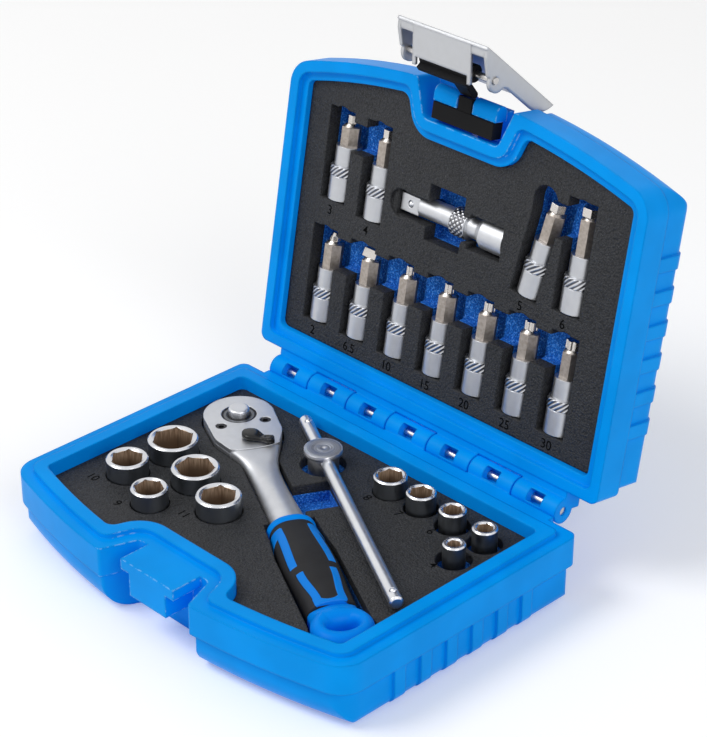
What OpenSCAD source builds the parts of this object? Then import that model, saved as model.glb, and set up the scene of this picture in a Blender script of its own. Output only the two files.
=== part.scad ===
// Quarter-inch socket and bit set in a hinged two-half case.
// Millimetres. Origin: middle of the base's underside. +X runs along the hinge,
// +Y points to the hinge, +Z points up. The lid is drawn open, as it rests.

/* [Case] */
// Width of the case along the hinge
case_w = 164; // [156:1:180]
// Depth from the rear edge to the middle of the bowed front
case_d = 119.2; // [117:0.2:126]
// Height of each half
half_h = 26; // [26:0.5:30]
// Radius of the bowed front edge
front_r = 275.6; // [230:0.1:400]
// Radius of the two front corners
corner_r = 10; // [8:0.5:12]
// Radius of the two rear corners
rear_r = 3; // [2:0.5:4]
// Height of the smooth band round each rim
band_h = 11; // [10:0.5:13]
// How far the wall steps in below the band
band_step = 1.6; // [1:0.1:2]
// Radius of the rounded bottom edge at the sides and rear
edge_r = 5; // [3:0.5:6]
// Radius of the deeper rounding along the front bottom edge
front_edge_r = 11; // [6:0.5:12]
// Thickness of the floor of each half
floor_t = 2.5; // [2:0.1:3.5]
// Width of the base rim, from its outer edge to the foam
rim_w = 9.3; // [8.5:0.1:9.5]
// Distance of the sealing bead from the outer edge
bead_in = 4.5; // [4.3:0.1:5]
// Height of the sealing bead above the base rim
bead_h = 1.7; // [1:0.1:2]
// Width of the lid rim, from its outer edge to the foam
lid_rim_w = 7.2; // [6.5:0.1:8]
// Gap round the bead when the case is shut
bead_gap = 0.4; // [0.3:0.1:0.5]

/* [Ribs] */
// Number of grip ribs on each side wall
rib_count = 6; // [3:1:7]
// Spacing of the grip ribs
rib_pitch = 11.8; // [9:0.1:12.5]
// Width of one rib
rib_w = 5; // [3:0.5:6]
// Height of a rib over the wall
rib_h = 1.2; // [0.6:0.1:1.5]
// Place of the middle of the row of ribs, from the middle of the case
rib_y = 6.4; // [2:0.2:8]

/* [Front notch and catch] */
// Width of the notch at the front edge
notch_w = 46; // [45:0.5:50]
// Width of the notch at its back wall
notch_back_w = 36; // [34:0.5:38]
// Depth of the notch
notch_d = 14.5; // [13.5:0.1:15]
// Radius of the notch's back corners
notch_r = 3; // [2:0.5:5]
// Width of the catch tongue on the base
tongue_w = 26; // [22:0.5:28]
// Thickness of the catch tongue
tongue_t = 4; // [3:0.1:5]
// Distance of the tongue's front face behind the bowed front
tongue_set = 2.7; // [2.4:0.1:4]
// Width of the catch block under the tongue
catch_w = 18; // [14:0.5:22]
// Depth of the catch block below the rim
catch_h = 12.6; // [11:0.1:12.8]

/* [Hinge] */
// Angle at which the open lid rests on its stop
lid_open = 99.86; // [90:0.01:110]
// Distance of the hinge axis behind the rear edge
hinge_back = 7.3; // [6.8:0.1:9]
// Number of knuckles, the lid holding the odd ones
knuckles = 7; // [5:2:9]
// Spacing of the knuckles
knuckle_pitch = 20.1; // [18:0.1:21]
// Outer diameter of a knuckle
knuckle_d = 9; // [8:0.1:10]
// Gap between neighbouring knuckles
knuckle_gap = 0.6; // [0.4:0.1:1]
// Diameter of the hinge pin
pin_d = 3; // [2.5:0.1:4]
// Radial clearance of every pin in its bore
pin_fit = 0.05; // [0.02:0.01:0.1]
// Width of the window that shows the pin in each knuckle
window_w = 6.5; // [4:0.5:8]
// Height of that window
window_h = 4.4; // [3.5:0.1:6]

/* [Foam] */
// Depth of the base foam's face below the rim
base_foam_set = 3.5; // [3:0.1:4.5]
// Depth of the lid foam's face inside the lid's rim
lid_foam_set = 4.2; // [4:0.1:5]
// Thickness of the black top layer of foam
black_t = 3.8; // [3:0.1:6]
// Thickness of the lid's black foam sheet
lid_black_t = 5.6; // [4:0.1:7]
// Depth of the finger trench in the base, from the foam's face
trench_d = 8; // [6:0.5:12]
// Depth of the finger trenches in the lid, from the foam's face
lid_trench_d = 9.4; // [9:0.1:11]
// Gap between the foam and the walls
foam_gap = 0.2; // [0.1:0.05:0.4]
// Gap round every tool in its pocket
pocket_gap = 0.35; // [0.25:0.05:0.5]

/* [Sockets] */
// Length of a socket
socket_l = 25; // [22:0.5:26]
// Height of the sockets' tops above the rim
socket_up = 3.2; // [1:0.1:3.4]
// Depth of the hexagon
hex_depth = 10; // [7:0.5:12]
// Side of the square drive hole
drive_hole = 6.45; // [6.4:0.01:6.6]
// Depth of the square drive hole
drive_depth = 8.5; // [7:0.5:10]
// Diameter of the drive end of the small sockets
shank_d = 11.8; // [11:0.1:12.5]
// Length of the hexagon end of the small sockets
head_l = 12; // [8:0.5:14]

/* [Bits] */
// Length of a bit holder
holder_l = 20; // [18:0.5:20.5]
// Diameter of the holder's drive end
holder_d = 11.5; // [10.5:0.1:12]
// Diameter of the holder's neck
neck_d = 9.6; // [8.5:0.1:10]
// Width across flats of the bits
bit_af = 6.35; // [6:0.05:6.5]
// Height of the lying tools' axes over the lid's rim plane
lying_h = 9.8; // [9.6:0.1:10.5]
// Spacing of the seven bits in the lower row
row_pitch = 19.05; // [18:0.05:19.5]

/* [Ratchet] */
// Height of the ratchet head's top face above the rim
ratchet_up = -0.5; // [-2:0.1:0]
// Thickness of the head
head_t = 11.5; // [10:0.1:12]
// Thickness of the cover plate over the gear
cover_t = 1.8; // [1.2:0.1:2.5]
// Radius of the head's rounded back
head_r = 12.8; // [12:0.1:13.5]
// Diameter of the drive gear
gear_d = 18; // [15:0.1:19]
// Number of teeth on the drive gear
gear_teeth = 36; // [24:1:48]
// Diameter of the gear's journal in the cover
journal_d = 12.7; // [11:0.1:14]
// Diameter of the quick-release button
button_d = 7.5; // [6:0.1:8]
// Height of the button above the cover
button_up = 2.6; // [2:0.1:3]
// Travel of the button
button_travel = 1.2; // [0.8:0.1:1.5]
// Side of the square drive
drive_sq = 6.3; // [6.2:0.01:6.35]
// Length of the square drive
drive_l = 7.5; // [6:0.1:8]
// Distance from the drive to the start of the handle
shank_l = 70; // [66:0.5:72]
// Distance from the drive to the end of the handle
handle_end = 143.5; // [138:0.5:144]

/* [Sliding T-bar and extension] */
// Diameter of the T-bar rod
rod_d = 4.8; // [4.5:0.1:6]
// Length of the T-bar rod
rod_l = 118; // [100:1:118]
// Distance of the head from the rod's far end
rod_head = 25.8; // [20:0.2:60]
// Diameter of the T-bar head
tee_d = 13.5; // [12:0.1:15]
// Length of the extension bar
ext_l = 49; // [46:0.5:50]
// Diameter of the extension bar's socket end
ext_d = 11.6; // [11:0.1:12]
// Diameter of the extension bar's shaft
ext_shaft = 7.6; // [7:0.1:9]

/* [Latch] */
// Width of the steel lever over its ears
lever_w = 40; // [36:0.5:42]
// Length of the steel lever
lever_l = 47; // [42:0.5:49]
// Thickness of the lever's sheet
sheet_t = 1.2; // [1:0.1:1.5]
// Diameter of the latch pin
latch_pin_d = 2.4; // [2:0.1:3]
// Distance from the strap's hinge to the latch pin
strap_l = 15.9; // [15:0.1:17]
// Thickness of the strap
strap_t = 2.4; // [1.8:0.1:2.6]
// Angle of the hanging strap below the horizontal, lid shut
strap_angle = 46.2; // [40:0.1:60]
// Tilt of the lever from the vertical at rest, lid shut
lever_tilt = 32; // [25:0.5:40]

/* [Hidden] */
$fn = 96;

azure = "#0b8fe6";
foam_black = "#2b2b2d";
core_blue = "#1447c4";
steel = "#c9ccd1";
dark_steel = "#4a4b4e";
bit_steel = "#8d8378";
black = "#1c1c1e";

eps = 0.01;
far = 400;
rear_y = case_d / 2;
bow_y = front_r - case_d / 2;
rim_z = half_h;
top_z = 2 * half_h;
hinge_y = rear_y + hinge_back;
hinge_z = rim_z;

// Foam levels: base from below, lid measured in the shut case
base_foam_z = rim_z - base_foam_set;
base_core_z = base_foam_z - black_t;
lid_foam_z = rim_z + lid_foam_set;
lid_core_z = lid_foam_z + lid_black_t;
inner_min_r = 2.5;
mouth_r = 1.2;
inner_mouth_r = 4;

// Sockets: size, outer diameter, x, y and turn of the hexagon
socket_set = [
    [13, 17.8, -54.9, 1.6, 10],
    [12, 16.8, -35, -5.4, 40],
    [11, 15.8, -15.9, -11.7, 12],
    [10, 14.8, -55.9, -18.3, 15],
    [9, 12.9, -36, -25.2, 35],
    [8, 11.8, 15.9, 38.4, 20],
    [7, 10.4, 30.5, 38.4, 5],
    [6, 9.4, 45.5, 38, 25],
    [5, 8.7, 60.5, 37.6, 0],
    [4, 7.8, 59.8, 23.6, 30]];

// Lying bits: x and y of the holder's drive end, lean, length of bit that shows
lower_row_x = -2.5;
lower_row_y = 45.3;
lower_out = 13.4;
hex3_at = [-58.4, -1.7, 0, 11.2];
hex4_at = [-39.9, 0, 0, 13];
hex5_at = [34.1, 2.3, 8.6, 14];
hex6_at = [53, 2.1, 0, 16.4];
ext_at = [-27.5, -11.3];

// Ratchet and T-bar places in the base
ratchet_at = [-55.6, 33.2];
ratchet_turn = -27.9;
rod_at = [-35.5, 46.9];
rod_turn = -29.2;
rod_up = -0.3;

// ---------- plan of the case ----------

function front_centre(d, r) =
    let (x = case_w / 2 - d - r)
    [x, bow_y - sqrt(pow(front_r - d - r, 2) - x * x)];

module outline(d) {
    r = max(corner_r - d, inner_min_r);
    rr = max(rear_r - d, inner_min_r);
    c = front_centre(d, r);
    hx = case_w / 2 - d;
    ry = rear_y - d;
    reach = 1.3;
    translate([-hx, c.y]) square([2 * hx, ry - rr - c.y]);
    translate([-hx + rr, c.y]) square([2 * (hx - rr), ry - c.y]);
    for (s = [-1, 1]) {
        translate([s * (hx - rr), ry - rr]) circle(r = rr);
        translate([s * c.x, c.y]) circle(r = r + eps);
    }
    intersection() {
        translate([0, bow_y]) circle(r = front_r - d, $fn = 240);
        polygon([[-c.x, c.y], [c.x, c.y],
            [c.x * reach, bow_y + (c.y - bow_y) * reach],
            [-c.x * reach, bow_y + (c.y - bow_y) * reach]]);
    }
}

// The front notch, grown by d on all its walls
module notch(d) {
    r = notch_r + d;
    mouth_y = -case_d / 2 + 1;
    back_y = mouth_y + notch_d - 1;
    flare = atan2((notch_w - notch_back_w) / 2, notch_d - 1);
    c = [notch_back_w / 2 - notch_r, back_y - notch_r];
    t = [c.x + r * cos(flare), c.y + r * sin(flare)];
    run = 2 * notch_d;
    mouth = [t.x + run * sin(flare), t.y - run * cos(flare)];
    for (s = [-1, 1]) translate([s * c.x, c.y]) circle(r = r + eps);
    polygon([[-c.x, c.y + r], [c.x, c.y + r], t, mouth, [-mouth.x, mouth.y], [-t.x, t.y]]);
}

// Where the offset flare line and the offset bow meet, both set in by d + r
function mouth_centre(d, r) =
    let (flare = atan2((notch_w - notch_back_w) / 2, notch_d - 1),
        n = [cos(flare), sin(flare)],
        u = [sin(flare), -cos(flare)],
        q = [notch_back_w / 2 - notch_r, notch_d - case_d / 2 - notch_r] + (notch_r + d + r) * n,
        w = q - [0, bow_y],
        k = w * u)
    q + (sqrt(k * k - w * w + pow(front_r - d - r, 2)) - k) * u;

// Waste that rounds the corner between the bow and the notch to radius r
module mouth_waste(d, r) {
    flare = atan2((notch_w - notch_back_w) / 2, notch_d - 1);
    p = mouth_centre(d, r);
    x = mouth_centre(d, 0);
    out = (p - [0, bow_y]) / norm(p - [0, bow_y]);
    difference() {
        polygon([p, p - r * [cos(flare), sin(flare)], x + (x - p) * 0.4, p + r * out]);
        translate(p) circle(r = r + eps);
    }
}

module plan(d) {
    r = d < 2 ? mouth_r : inner_mouth_r;
    difference() {
        outline(d);
        notch(d);
        mouth_waste(d, r);
        mirror([1, 0]) mouth_waste(d, r);
    }
}

module prism(d, z0, z1) {
    translate([0, 0, z0]) linear_extrude(z1 - z0) plan(d);
}

// Waste outside a quarter round: corner at the origin, round of radius r inside it
module round_waste(r) {
    difference() {
        translate([-1, -1]) square([r + 1, r + 1]);
        translate([r, r]) circle(r = r, $fn = 64);
    }
}

// Rounds the lower outer edge of a wall whose plan is set in by d: the sides and
// corners to edge_r, the bowed front to front_edge_r. The pieces run past each other.
module edge_waste(d) {
    hx = case_w / 2 - d;
    cr = corner_r - d;
    c = front_centre(d, cr);
    bow = front_r - d;
    sweep = 20;
    for (s = [0, 1]) mirror([s, 0, 0]) {
        translate([-hx, rear_y + 1, 0]) rotate([90, 0, 0]) linear_extrude(case_d + 2)
            round_waste(edge_r);
        translate([c.x, c.y, 0]) rotate([0, 0, -90]) rotate_extrude(angle = 90)
            translate([cr, 0]) mirror([1, 0]) round_waste(edge_r);
    }
    translate([0, bow_y, 0]) rotate([0, 0, -90 - sweep]) rotate_extrude(angle = 2 * sweep)
        translate([bow, 0]) mirror([1, 0]) round_waste(front_edge_r);
    translate([-hx - 1, rear_y - d, 0]) rotate([90, 0, 90]) linear_extrude(2 * hx + 2)
        mirror([1, 0]) round_waste(edge_r);
}

// Grip ribs on both side walls, running down into the rounded edge
module ribs() {
    outer = case_w / 2 - band_step + rib_h;
    r = edge_r - 0.4;
    low = edge_r + rib_h / 2;
    root = 3;
    for (s = [0, 1]) mirror([s, 0, 0])
        for (i = [0 : rib_count - 1])
            translate([outer, rib_y + (i - (rib_count - 1) / 2) * rib_pitch - rib_w / 2, low]) {
                translate([-root - rib_h, 0, 0]) cube([root + rib_h, rib_w, half_h - band_h - low + 1]);
                intersection() {
                    translate([-r, rib_w, 0]) rotate([90, 0, 0]) cylinder(r = r, h = rib_w);
                    translate([-r, 0, -r]) cube([r, rib_w, r]);
                }
            }
}

// One half of the case as a solid block, rim upwards, before its inside is cut
module half_block() {
    prism(0, half_h - band_h, half_h);
    difference() {
        prism(band_step, 0, half_h - band_h + eps);
        edge_waste(band_step);
    }
    ribs();
}

// Puts a shut lid's geometry where the open lid rests
module open_lid() {
    translate([0, hinge_y, hinge_z]) rotate([-lid_open, 0, 0]) translate([0, -hinge_y, -hinge_z])
        children();
}

// ---------- hinge ----------

function knuckle_x(i) = -1 + (i - (knuckles - 1) / 2) * knuckle_pitch;

// Barrels with their arms; up is 1 for the lid, whose arms stand above the rim plane
module knuckle_row(first, up) {
    arm_h = 8;
    clear = up > 0 ? 0.3 : 0;
    for (i = [first : 2 : knuckles - 1])
        translate([knuckle_x(i) - (knuckle_pitch - knuckle_gap) / 2, 0, 0]) {
            translate([0, hinge_y, hinge_z]) rotate([0, 90, 0])
                cylinder(d = knuckle_d, h = knuckle_pitch - knuckle_gap);
            translate([0, rear_y - 1, hinge_z + (up > 0 ? clear : -arm_h)])
                cube([knuckle_pitch - knuckle_gap, hinge_back + 1, arm_h - clear]);
        }
    // a ledge behind the other half's knuckles closes the slot beside them
    translate([knuckle_x(0) - (knuckle_pitch - knuckle_gap) / 2, rear_y - 1,
        hinge_z + (up > 0 ? clear : -arm_h)])
        cube([knuckles * knuckle_pitch - knuckle_gap, hinge_back + 1 - knuckle_d / 2 - 0.3, arm_h - clear]);
}

module pin_bore() {
    translate([-case_w / 2, hinge_y, hinge_z]) rotate([0, 90, 0])
        cylinder(d = pin_d + 2 * pin_fit, h = case_w);
}

// Windows that open each barrel towards the front and top, whichever half it is on
window_lean = 50;
module pin_windows(first) {
    for (i = [first : 2 : knuckles - 1])
        translate([knuckle_x(i), hinge_y, hinge_z]) rotate([window_lean, 0, 0])
            translate([-window_w / 2, -window_h / 2, 0]) cube([window_w, window_h, knuckle_d]);
}

module hinge_pin() {
    l = knuckles * knuckle_pitch - knuckle_gap - 1;
    color(steel) translate([knuckle_x((knuckles - 1) / 2) - l / 2, hinge_y, hinge_z])
        rotate([0, 90, 0]) cylinder(d = pin_d, h = l);
}

// ---------- case halves ----------

tongue_front = -case_d / 2 + tongue_set;
notch_back = -case_d / 2 + notch_d;

module tongue() {
    translate([-tongue_w / 2, tongue_front, rim_z - tongue_t])
        cube([tongue_w, notch_back - tongue_front + 1, tongue_t]);
    translate([-catch_w / 2, tongue_front, rim_z - catch_h])
        cube([catch_w, notch_back - tongue_front + 1, catch_h]);
}

module base_shell() {
    color(azure) difference() {
        union() {
            half_block();
            prism(bead_in, half_h - 1, half_h + bead_h);
            knuckle_row(1, -1);
            tongue();
        }
        prism(rim_w, floor_t, half_h + bead_h + 1);
        pin_bore();
        pin_windows(1);
    }
}

module lid_shell() {
    strip = bead_in - bead_gap;
    color(azure) difference() {
        open_lid() difference() {
            union() {
                translate([0, 0, top_z]) mirror([0, 0, 1]) half_block();
                knuckle_row(0, 1);
                for (s = [0, 1]) mirror([s, 0, 0]) latch_lug();
            }
            prism(strip, rim_z - 1, rim_z + bead_h + bead_gap);
            prism(lid_rim_w, rim_z - 1, top_z - floor_t);
            pin_bore();
        }
        pin_windows(0);
    }
}

// A rounded hook that hangs from the notch's back wall and holds the strap's foot
module latch_lug() {
    nose_y = -case_d / 2 + 1.6;
    nose_r = 2.8;
    low = rim_z + 0.6;
    root_z = rim_z + 5.4;
    w = 10.6;
    translate([3.6, 0, 0]) {
        translate([0, nose_y + nose_r, low]) cube([w, foot_y - foot_gap - nose_y - nose_r, 2 * nose_r]);
        translate([0, nose_y + nose_r, low + nose_r]) rotate([0, 90, 0]) cylinder(r = nose_r, h = w);
        translate([0, nose_y + nose_r, root_z]) cube([w - 1.5, notch_back - nose_y - nose_r + 1, 6]);
    }
}

// ---------- latch, drawn with the lid shut ----------

foot_gap = 0.3;
foot_y = notch_back - 7.1;
foot_size = [27.5, 5.8, 4.8];
foot_top = rim_z + 0.3 + foot_size.z;
stem_w = 6;
strap_at = [-case_d / 2 + 0.8, rim_z + 1.8];
latch_pin_at = [strap_at.x - strap_l * cos(strap_angle), strap_at.y - strap_l * sin(strap_angle)];
barrel_r = 3.1;
nose_l = 5.2;
link_w = 22.6;
ear_w = 1.2;

module latch_strap_root() {
    knuckle_r = strap_t / 2;
    color(black) open_lid() {
        translate([-foot_size.x / 2, foot_y, rim_z + 0.3]) cube(foot_size);
        translate([-stem_w / 2, strap_at.x + knuckle_r + 0.35, strap_at.y - knuckle_r])
            cube([stem_w, foot_y - strap_at.x - knuckle_r, strap_t]);
    }
}

// Strap, barrel and hook nose: y, z plane along the strap, u outwards from the hinge
module latch_link() {
    color(black) open_lid() difference() {
        translate([0, strap_at.x, strap_at.y]) rotate([strap_angle, 0, 0]) union() {
            translate([-stem_w / 2, 0, 0]) rotate([0, 90, 0]) cylinder(d = strap_t, h = stem_w);
            translate([-stem_w / 2, -strap_l, -strap_t / 2]) cube([stem_w, strap_l, strap_t]);
            translate([-link_w / 2, -strap_l, 0]) rotate([0, 90, 0]) cylinder(r = barrel_r, h = link_w);
            translate([-link_w / 2, -strap_l - 0.2, -nose_l]) cube([link_w, 1.8, nose_l]);
        }
        latch_bore();
    }
}

module latch_bore() {
    translate([-lever_w, latch_pin_at.x, latch_pin_at.y]) rotate([0, 90, 0])
        cylinder(d = latch_pin_d + 2 * pin_fit, h = 2 * lever_w);
}

module latch_pin() {
    color(steel) open_lid() translate([-lever_w / 2 - 0.6, latch_pin_at.x, latch_pin_at.y])
        rotate([0, 90, 0]) cylinder(d = latch_pin_d, h = lever_w + 1.2);
}

// Places the lever's own frame: x along the hinge, y along the lever, z outwards
pin_along = 12.5;
pin_in = 7;
module lever_frame() {
    open_lid() translate([0, latch_pin_at.x, latch_pin_at.y]) rotate([90 - lever_tilt, 0, 0])
        translate([0, -pin_along, pin_in]) children();
}

// One side of the lever: a flange that deepens into the ear round the pin
module lever_side() {
    flange = 6.3;
    tail_r = 11;
    rotate([0, 90, 0]) rotate([0, 0, 90]) mirror([0, 1]) linear_extrude(sheet_t) {
        polygon([[1, 0], [3.3, 3.4], [8.5, 7.6], [pin_along + 4.5, 7.4], [20, flange],
            [lever_l - tail_r, flange], [lever_l - tail_r, 0]]);
        translate([pin_along + 1.2, pin_in - 0.6]) circle(r = 4.2);
        intersection() {
            translate([lever_l - tail_r, flange - tail_r]) circle(r = tail_r);
            translate([lever_l - tail_r - 1, 0]) square([tail_r, flange]);
        }
    }
}

module latch_lever() {
    hw = lever_w / 2;
    tip_r = 5;
    flap_w = 26;
    flap_lean = 41;
    flap_l = 11;
    band = 3;
    leg_w = 1.3;
    leg_l = 14;
    start = 1;
    color(steel) lever_frame() difference() {
        union() {
            translate([-hw, start, -sheet_t]) cube([lever_w, lever_l - tip_r - start, sheet_t]);
            translate([-hw + tip_r, start, -sheet_t]) cube([lever_w - 2 * tip_r, lever_l - start, sheet_t]);
            for (s = [-1, 1]) translate([s * (hw - tip_r), lever_l - tip_r, -sheet_t])
                cylinder(r = tip_r, h = sheet_t);
            translate([hw - sheet_t, 0, 0]) lever_side();
            translate([-hw, 0, 0]) lever_side();
            translate([0, start + 0.4, -sheet_t]) rotate([flap_lean, 0, 0]) {
                translate([-flap_w / 2, 0, -flap_l]) cube([flap_w, sheet_t, flap_l + 0.6]);
                translate([-hw + sheet_t / 2, 0.3, -band])
                    cube([lever_w - sheet_t, sheet_t - 0.3, band + 0.4]);
                for (x = [-flap_w / 2, flap_w / 2 - leg_w]) translate([x, 0, -leg_l])
                    cube([leg_w, sheet_t, leg_l + 0.6]);
            }
        }
        translate([-hw - 1, pin_along, -pin_in]) rotate([0, 90, 0])
            cylinder(d = latch_pin_d + 2 * pin_fit, h = lever_w + 2);
        translate([-hw - 1, -5, 0]) cube([lever_w + 2, 20, 5]);
    }
}

// ---------- foams ----------

module at_ratchet() {
    translate([ratchet_at.x, ratchet_at.y, rim_z + ratchet_up]) rotate([0, 0, ratchet_turn]) children();
}

module at_rod() {
    translate([rod_at.x, rod_at.y, rim_z + rod_up]) rotate([0, 0, rod_turn]) children();
}

cover_nose = 24.5;
neck_r = 4.6;
head_far_r = 12.4;
head_far = 12;
neck_at = 33;

// Direction in which the common tangent of two circles on one axis touches them
function touch(apart, r0, r1) = let (a = acos((r0 - r1) / apart)) [cos(a), sin(a)];

// The ratchet head, grown by g and h high: two round lobes that run into a neck
module head_solid(g, h) {
    lap = 0.03;
    near = touch(head_far, head_r, head_far_r);
    away = touch(neck_at - head_far, head_far_r, neck_r);
    side = [(head_r + g - lap) * near, [head_far, 0] + (head_far_r + g - lap) * near,
        [head_far, 0] + (head_far_r + g - lap) * away, [neck_at, 0] + (neck_r + g) * away];
    cylinder(r = head_r + g, h = h);
    translate([head_far, 0, 0]) cylinder(r = head_far_r + g, h = h);
    linear_extrude(h) polygon(concat(side, [for (i = [3 : -1 : 0]) [side[i].x, -side[i].y]]));
}

handle_h = 14;
handle_z = -6.6;
handle_w = 19.6;
handle_end_r = 10.3;
ring_x = handle_end - handle_end_r;
grip_to = ring_x - 12.3;
tang_l = 30;

module ratchet_pocket() {
    g = 2 * pocket_gap;
    trench = [48, 64.6, 20];
    slot = [[shank_l - 1.5, 8.2], [shank_l + 8, 8.6], [shank_l + 20, 9.8], [ring_x, 9.8]];
    at_ratchet() {
        translate([0, 0, -head_t - g]) head_solid(g, far);
        translate([0, 0, -head_t - drive_l - 1.5]) cylinder(d = drive_sq * sqrt(2) + 3, h = far);
        translate([neck_at - 8, -6.8, handle_z - 7]) cube([shank_l - neck_at + 10, 13.6, far]);
        translate([0, 0, handle_z - handle_h / 2 - g]) linear_extrude(far)
            polygon([for (p = slot) [p.x, -p.y - g], for (i = [3 : -1 : 0]) [slot[i].x, slot[i].y + g]]);
        translate([ring_x, 0, handle_z - handle_h / 2 - g])
            cylinder(r = handle_end_r + g, h = far);
        // finger trench between the ratchet and the T-bar
        translate([trench[0], 0, -base_foam_set - trench_d - ratchet_up])
            cube([trench[1] - trench[0], trench[2], far]);
    }
}

module rod_pocket() {
    g = 2 * pocket_gap;
    wide = rod_d + 2 * g;
    at_rod() {
        translate([-g, -wide / 2, 0]) cube([rod_l + 2 * g, wide, far]);
        translate([-g, 0, 0]) rotate([0, 90, 0]) cylinder(d = wide, h = rod_l + 2 * g);
        translate([rod_head, 0, base_core_z - rim_z - rod_up]) cylinder(d = tee_d + 4 * g, h = far);
        translate([rod_head, 0, tee_low - g]) cylinder(d = tee_d - 2.5 + 2 * g, h = far);
        translate([rod_head, 0, tee_low - tee_drive - g]) cylinder(d = drive_sq * sqrt(2) + 2, h = far);
    }
}

module base_pockets() {
    deep = rim_z + socket_up - socket_l - pocket_gap;
    for (s = socket_set) translate([s[2], s[3], deep])
        cylinder(d = max(s[1], shank_d) + 2 * pocket_gap, h = far);
    ratchet_pocket();
    rod_pocket();
}

module base_foam() {
    color(foam_black) difference() {
        prism(rim_w + foam_gap, base_core_z, base_foam_z);
        base_pockets();
    }
}

module base_core() {
    color(core_blue) difference() {
        prism(rim_w + foam_gap, floor_t, base_core_z);
        base_pockets();
    }
}

// Where the lower row of bits lies, tips towards the front
function lower_at(i) = [lower_row_x + (i - 3) * row_pitch, lower_row_y, 0, lower_out];

module lay(at) {
    translate([at[0], at[1], rim_z + lying_h]) rotate([0, 0, at[2]]) rotate([90, 0, 0]) children();
}

module bit_pocket(at) {
    g = pocket_gap;
    l = holder_l + at[3] + 3;
    lay(at) translate([0, 0, -g]) {
        cylinder(d = holder_d + 2 * g, h = l + g);
        translate([-holder_d / 2 - g, -far, 0]) cube([holder_d + 2 * g, far, l + g]);
    }
}

// A trench over the tips of the bits at xs, from y0 to y1: a round slot above each, and
// between them the trench starts step later
module lid_trench(xs, y0, y1, step) {
    r = 5.2;
    h = lid_foam_z + lid_trench_d;
    for (x = xs) {
        translate([x, y0 + r, 0]) cylinder(r = r, h = h);
        translate([x - r, y0 + r, 0]) cube([2 * r, y1 - y0 - r, h]);
    }
    translate([xs[0], y0 + step, 0]) cube([xs[len(xs) - 1] - xs[0], y1 - y0 - step, h]);
}

module extension_pocket() {
    g = pocket_gap;
    shaft = ext_shaft + 1.6;
    socket_x = ext_l - 15;
    translate([ext_at.x, ext_at.y, 0]) {
        translate([2, 0, rim_z + lying_h - ext_shaft / 2 - 0.8]) mirror([0, 0, 1])
            cylinder(d = shaft + 1, h = far);
        for (v = [[-g, socket_x + 2 * g, shaft],
            [collar_x - g, collar_l + 2 * g, ext_shaft + collar_up + 2 * g],
            [socket_x, ext_l - socket_x + g, ext_d + 2 * g]])
            translate([v[0], 0, rim_z + lying_h]) {
                rotate([0, 90, 0]) cylinder(d = v[2], h = v[1]);
                translate([0, -v[2] / 2, -far]) cube([v[1], v[2], far]);
            }
    }
    // finger trench across the extension
    translate([-12.9, -22.4, 0]) cube([16.5, 20.4, lid_foam_z + lid_trench_d]);
}

module lid_pockets() {
    lower = [for (i = [0 : 6]) lower_at(i)];
    for (at = concat([hex3_at, hex4_at, hex5_at, hex6_at], lower)) bit_pocket(at);
    lid_trench([hex3_at.x, hex4_at.x], -36.6, -21.6, 4);
    lid_trench([hex5_at.x + 3.4, hex6_at.x], -37.6, -21.6, 4);
    lid_trench([for (at = lower) at.x], 8.3, 23.4, 2.6);
    extension_pocket();
}

module lid_foam() {
    color(foam_black) open_lid() difference() {
        prism(lid_rim_w + foam_gap, lid_foam_z, lid_core_z);
        lid_pockets();
    }
}

module lid_core() {
    color(core_blue) open_lid() difference() {
        prism(lid_rim_w + foam_gap, lid_core_z, top_z - floor_t);
        lid_pockets();
    }
}

// ---------- sockets ----------

function across_corners(af) = af / cos(30);

module hex_hole(af, depth) {
    cylinder(d = across_corners(af), h = depth, $fn = 6);
}

module square_hole(side, depth) {
    translate([-side / 2, -side / 2, 0]) cube([side, side, depth]);
}

module socket(s) {
    af = s[0] + 0.15;
    od = s[1];
    small = od < shank_d;
    ch = 0.5;
    step = 1;
    color(steel) translate([s[2], s[3], rim_z + socket_up - socket_l]) difference() {
        union() {
            if (small) {
                cylinder(d = shank_d, h = socket_l - head_l - step);
                translate([0, 0, socket_l - head_l - step]) cylinder(d1 = shank_d, d2 = od, h = step);
            }
            translate([0, 0, small ? socket_l - head_l : 0])
                cylinder(d = od, h = (small ? head_l : socket_l) - ch);
            translate([0, 0, socket_l - ch]) cylinder(d1 = od, d2 = od - 2 * ch, h = ch);
        }
        translate([0, 0, socket_l - hex_depth]) rotate([0, 0, s[4]]) hex_hole(af, hex_depth + 1);
        translate([0, 0, socket_l - 0.6]) cylinder(d1 = af, d2 = across_corners(af) + 0.7, h = 0.7);
        translate([0, 0, drive_depth - 1])
            cylinder(d = min(af, drive_hole) - 0.6, h = socket_l - drive_depth - 2);
        translate([0, 0, -1]) square_hole(drive_hole, drive_depth + 1);
    }
}

// ---------- bits ----------

ring_z = 8.8;
ring_l = 4;

module bit_holder(at) {
    deep = 10.5;
    color(steel) open_lid() lay(at) difference() {
        union() {
            cylinder(d = holder_d, h = ring_z);
            translate([0, 0, ring_z]) cylinder(d = holder_d - 0.4, h = ring_l);
            translate([0, 0, ring_z + ring_l]) cylinder(d = neck_d, h = holder_l - ring_z - ring_l);
        }
        translate([0, 0, -1]) square_hole(drive_hole, drive_depth + 1);
        translate([0, 0, holder_l - deep]) hex_hole(bit_af + 0.1, deep + 1);
    }
}

tip_l = 3;

// The hexagon stem of a bit, from inside its holder to the shoulder of its tip
module bit_stem(top) {
    low = holder_l - 10;
    neck = 1.2;
    translate([0, 0, low]) hex_hole(bit_af, top - neck - low);
    translate([0, 0, top - neck]) cylinder(d1 = bit_af, d2 = bit_af - 2, h = neck);
}

module hex_tip(af) {
    hex_hole(af, tip_l);
}

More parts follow.
